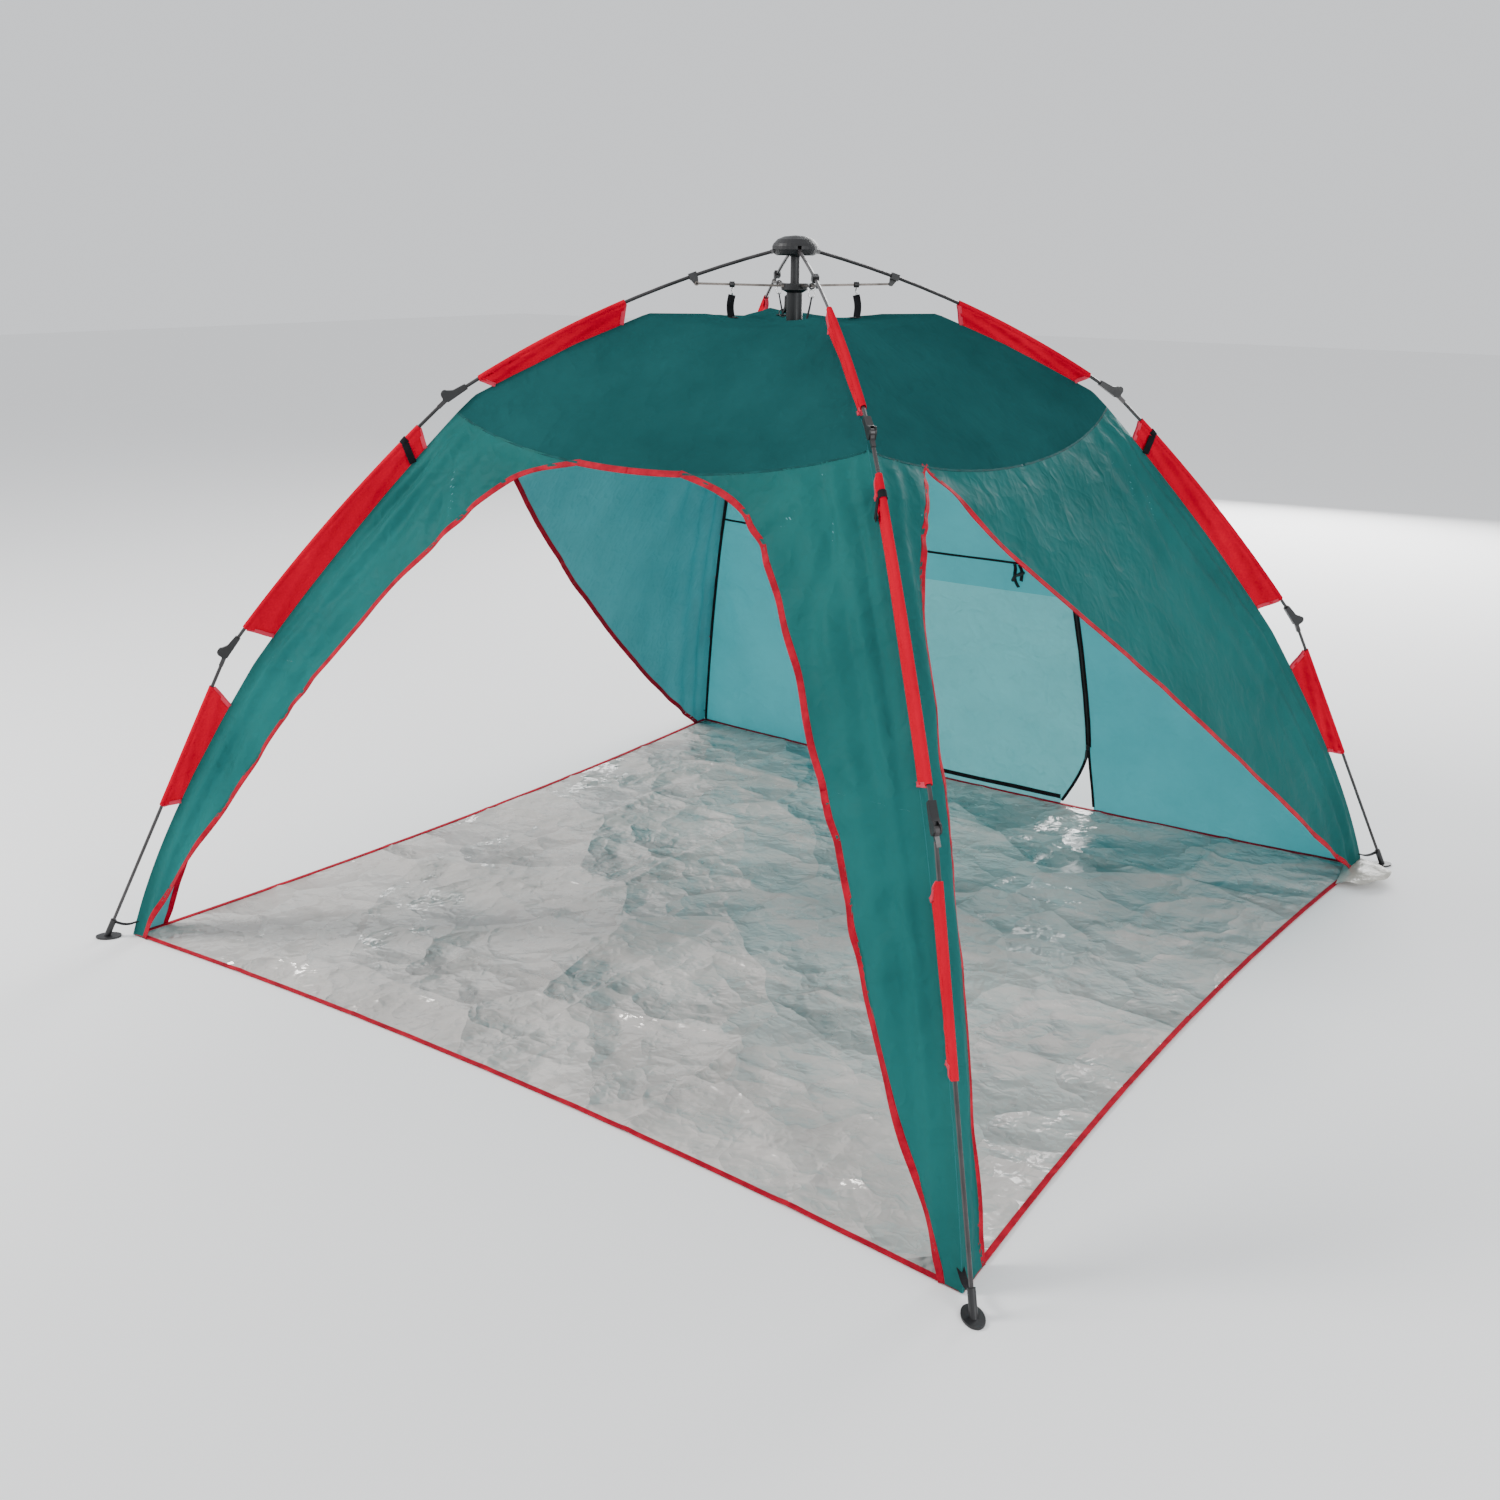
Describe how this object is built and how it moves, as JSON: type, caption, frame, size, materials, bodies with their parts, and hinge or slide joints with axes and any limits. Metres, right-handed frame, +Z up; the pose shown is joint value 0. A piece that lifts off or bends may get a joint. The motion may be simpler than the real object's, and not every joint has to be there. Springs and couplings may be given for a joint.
{
  "type": "pop-up beach shelter",
  "caption": "Pop-up beach shelter with an umbrella hub, folding bowed legs, a teal canopy, an arched front, open sides, a zipped back door and a groundsheet.",
  "frame": {"origin": "on the ground under the hub, the middle of the box's bottom face", "axes": "+Z up; the arched front faces -Y, the zipped back wall +Y; the legs stand on the diagonals"},
  "size_m": [2.8596, 2.8596, 1.936],
  "materials": {
    "black_plastic": "fine moulded texture",
    "fibreglass": "pultruded, satin",
    "strut_steel": "dark, brushed",
    "teal_cloth": "coated polyester, plain weave",
    "red_cloth": "polyester, plain weave",
    "silver_sheet": "glossy crinkled film",
    "black_webbing": "woven webbing"
  },
  "bodies": {
    "floor": {"groundsheet": "silver_sheet"},
    "hub": {"hub": "black_plastic", "canopy_roof": "teal_cloth"},
    "runner": {"runner": "black_plastic"},
    "release_lever": {"release_lever": "black_plastic"},
    "upper_front_left": {"upper_pole_front_left": "fibreglass", "pole_bracket_front_left": "black_plastic", "upper_knee_front_left": "black_plastic", "upper_sleeve_front_left": "red_cloth"},
    "strut_front_left": {"strut_front_left": "strut_steel", "roof_strap_front_left": "black_webbing"},
    "middle_front_left": {"middle_pole_front_left": "fibreglass", "lower_knee_front_left": "black_plastic", "middle_sleeve_front_left": "red_cloth", "front_column_left": "teal_cloth"},
    "lower_front_left": {"lower_pole_front_left": "fibreglass", "foot_front_left": "black_plastic", "lower_sleeve_front_left": "red_cloth"},
    "upper_front_right": {"upper_pole_front_right": "fibreglass", "pole_bracket_front_right": "black_plastic", "upper_knee_front_right": "black_plastic", "upper_sleeve_front_right": "red_cloth"},
    "strut_front_right": {"strut_front_right": "strut_steel", "roof_strap_front_right": "black_webbing"},
    "middle_front_right": {"middle_pole_front_right": "fibreglass", "lower_knee_front_right": "black_plastic", "middle_sleeve_front_right": "red_cloth", "front_column_right": "teal_cloth"},
    "lower_front_right": {"lower_pole_front_right": "fibreglass", "foot_front_right": "black_plastic", "lower_sleeve_front_right": "red_cloth"},
    "upper_rear_right": {"upper_pole_rear_right": "fibreglass", "pole_bracket_rear_right": "black_plastic", "upper_knee_rear_right": "black_plastic", "upper_sleeve_rear_right": "red_cloth"},
    "strut_rear_right": {"strut_rear_right": "strut_steel", "roof_strap_rear_right": "black_webbing"},
    "middle_rear_right": {"middle_pole_rear_right": "fibreglass", "lower_knee_rear_right": "black_plastic", "middle_sleeve_rear_right": "red_cloth", "wing_right": "teal_cloth", "back_wall": "teal_cloth", "door_panel": "teal_cloth"},
    "lower_rear_right": {"lower_pole_rear_right": "fibreglass", "foot_rear_right": "black_plastic", "lower_sleeve_rear_right": "red_cloth"},
    "upper_rear_left": {"upper_pole_rear_left": "fibreglass", "pole_bracket_rear_left": "black_plastic", "upper_knee_rear_left": "black_plastic", "upper_sleeve_rear_left": "red_cloth"},
    "strut_rear_left": {"strut_rear_left": "strut_steel", "roof_strap_rear_left": "black_webbing"},
    "middle_rear_left": {"middle_pole_rear_left": "fibreglass", "lower_knee_rear_left": "black_plastic", "middle_sleeve_rear_left": "red_cloth", "wing_left": "teal_cloth"},
    "lower_rear_left": {"lower_pole_rear_left": "fibreglass", "foot_rear_left": "black_plastic", "lower_sleeve_rear_left": "red_cloth"},
    "zip_slider": {"zip_slider": "black_plastic"}
  },
  "joints": [
    {"name": "hub_drop", "type": "slide", "parent": "floor", "child": "hub", "axis": [0, 0, -1], "range_m": [0, 0.9], "deforming": ["canopy_roof", "front_column_left", "front_column_right", "wing_left", "wing_right", "back_wall", "door_panel", "upper_sleeve_front_left", "upper_sleeve_front_right", "upper_sleeve_rear_right", "upper_sleeve_rear_left", "middle_sleeve_front_left", "middle_sleeve_front_right", "middle_sleeve_rear_right", "middle_sleeve_rear_left", "lower_sleeve_front_left", "lower_sleeve_front_right", "lower_sleeve_rear_right", "lower_sleeve_rear_left", "roof_strap_front_left", "roof_strap_front_right", "roof_strap_rear_right", "roof_strap_rear_left"]},
    {"name": "runner_slide", "type": "slide", "parent": "hub", "child": "runner", "axis": [0, 0, -1], "range_m": [0, 0.3683]},
    {"name": "release_lever_pivot", "type": "hinge", "parent": "runner", "child": "release_lever", "pos_m": [-0.0232, 0, 1.782], "axis": [0, 1, 0], "range_deg": [0, 25], "stiffness_Nm_per_rad": 0.05},
    {"name": "upper_hinge_front_left", "type": "hinge", "parent": "hub", "child": "upper_front_left", "pos_m": [-0.02828, -0.02828, 1.9], "axis": [0.7071, -0.7071, 0], "range_deg": [0, 52.1]},
    {"name": "strut_hinge_front_left", "type": "hinge", "parent": "runner", "child": "strut_front_left", "pos_m": [-0.01237, -0.03005, 1.806], "axis": [-0.7071, 0.7071, 0], "range_deg": [0, 69.07]},
    {"name": "upper_knee_front_left", "type": "hinge", "parent": "upper_front_left", "child": "middle_front_left", "pos_m": [-0.67232, -0.67232, 1.52156], "axis": [-0.7071, 0.7071, 0], "range_deg": [0, 183.1]},
    {"name": "lower_knee_front_left", "type": "hinge", "parent": "middle_front_left", "child": "lower_front_left", "pos_m": [-1.12477, -1.12477, 0.83075], "axis": [-0.7359, 0.6705, -0.0937], "range_deg": [0, 190.1]},
    {"name": "upper_hinge_front_right", "type": "hinge", "parent": "hub", "child": "upper_front_right", "pos_m": [0.02828, -0.02828, 1.9], "axis": [0.7071, 0.7071, 0], "range_deg": [0, 52.1]},
    {"name": "strut_hinge_front_right", "type": "hinge", "parent": "runner", "child": "strut_front_right", "pos_m": [0.03005, -0.01237, 1.806], "axis": [-0.7071, -0.7071, 0], "range_deg": [0, 69.07]},
    {"name": "upper_knee_front_right", "type": "hinge", "parent": "upper_front_right", "child": "middle_front_right", "pos_m": [0.67232, -0.67232, 1.52156], "axis": [-0.7071, -0.7071, 0], "range_deg": [0, 183.1]},
    {"name": "lower_knee_front_right", "type": "hinge", "parent": "middle_front_right", "child": "lower_front_right", "pos_m": [1.12477, -1.12477, 0.83075], "axis": [-0.6705, -0.7359, -0.0937], "range_deg": [0, 190.1]},
    {"name": "upper_hinge_rear_right", "type": "hinge", "parent": "hub", "child": "upper_rear_right", "pos_m": [0.02828, 0.02828, 1.9], "axis": [-0.7071, 0.7071, 0], "range_deg": [0, 52.1]},
    {"name": "strut_hinge_rear_right", "type": "hinge", "parent": "runner", "child": "strut_rear_right", "pos_m": [0.01237, 0.03005, 1.806], "axis": [0.7071, -0.7071, 0], "range_deg": [0, 69.07]},
    {"name": "upper_knee_rear_right", "type": "hinge", "parent": "upper_rear_right", "child": "middle_rear_right", "pos_m": [0.67232, 0.67232, 1.52156], "axis": [0.7071, -0.7071, 0], "range_deg": [0, 183.1]},
    {"name": "lower_knee_rear_right", "type": "hinge", "parent": "middle_rear_right", "child": "lower_rear_right", "pos_m": [1.12477, 1.12477, 0.83075], "axis": [0.7359, -0.6705, -0.0937], "range_deg": [0, 190.1]},
    {"name": "upper_hinge_rear_left", "type": "hinge", "parent": "hub", "child": "upper_rear_left", "pos_m": [-0.02828, 0.02828, 1.9], "axis": [-0.7071, -0.7071, 0], "range_deg": [0, 52.1]},
    {"name": "strut_hinge_rear_left", "type": "hinge", "parent": "runner", "child": "strut_rear_left", "pos_m": [-0.03005, 0.01237, 1.806], "axis": [0.7071, 0.7071, 0], "range_deg": [0, 69.07]},
    {"name": "upper_knee_rear_left", "type": "hinge", "parent": "upper_rear_left", "child": "middle_rear_left", "pos_m": [-0.67232, 0.67232, 1.52156], "axis": [0.7071, 0.7071, 0], "range_deg": [0, 183.1]},
    {"name": "lower_knee_rear_left", "type": "hinge", "parent": "middle_rear_left", "child": "lower_rear_left", "pos_m": [-1.12477, 1.12477, 0.83075], "axis": [0.6705, 0.7359, -0.0937], "range_deg": [0, 190.1]},
    {"name": "zip_slide", "type": "slide", "parent": "middle_rear_right", "child": "zip_slider", "axis": [-0.0002, -0.3145, 0.9492], "range_m": [0, 0.496]}
  ],
  "couplings": [
    {"joint": "runner_slide", "follows": "hub_drop", "ratio": 0.40871},
    {"joint": "upper_hinge_front_left", "follows": "hub_drop", "rad_per_m": 1.0084},
    {"joint": "strut_hinge_front_left", "follows": "hub_drop", "rad_per_m": 1.3375},
    {"joint": "upper_knee_front_left", "follows": "hub_drop", "rad_per_m": 3.5488},
    {"joint": "lower_knee_front_left", "follows": "hub_drop", "rad_per_m": 3.6846},
    {"joint": "upper_hinge_front_right", "follows": "hub_drop", "rad_per_m": 1.0084},
    {"joint": "strut_hinge_front_right", "follows": "hub_drop", "rad_per_m": 1.3375},
    {"joint": "upper_knee_front_right", "follows": "hub_drop", "rad_per_m": 3.5488},
    {"joint": "lower_knee_front_right", "follows": "hub_drop", "rad_per_m": 3.6846},
    {"joint": "upper_hinge_rear_right", "follows": "hub_drop", "rad_per_m": 1.0084},
    {"joint": "strut_hinge_rear_right", "follows": "hub_drop", "rad_per_m": 1.3375},
    {"joint": "upper_knee_rear_right", "follows": "hub_drop", "rad_per_m": 3.5488},
    {"joint": "lower_knee_rear_right", "follows": "hub_drop", "rad_per_m": 3.6846},
    {"joint": "upper_hinge_rear_left", "follows": "hub_drop", "rad_per_m": 1.0084},
    {"joint": "strut_hinge_rear_left", "follows": "hub_drop", "rad_per_m": 1.3375},
    {"joint": "upper_knee_rear_left", "follows": "hub_drop", "rad_per_m": 3.5488},
    {"joint": "lower_knee_rear_left", "follows": "hub_drop", "rad_per_m": 3.6846}
  ]
}
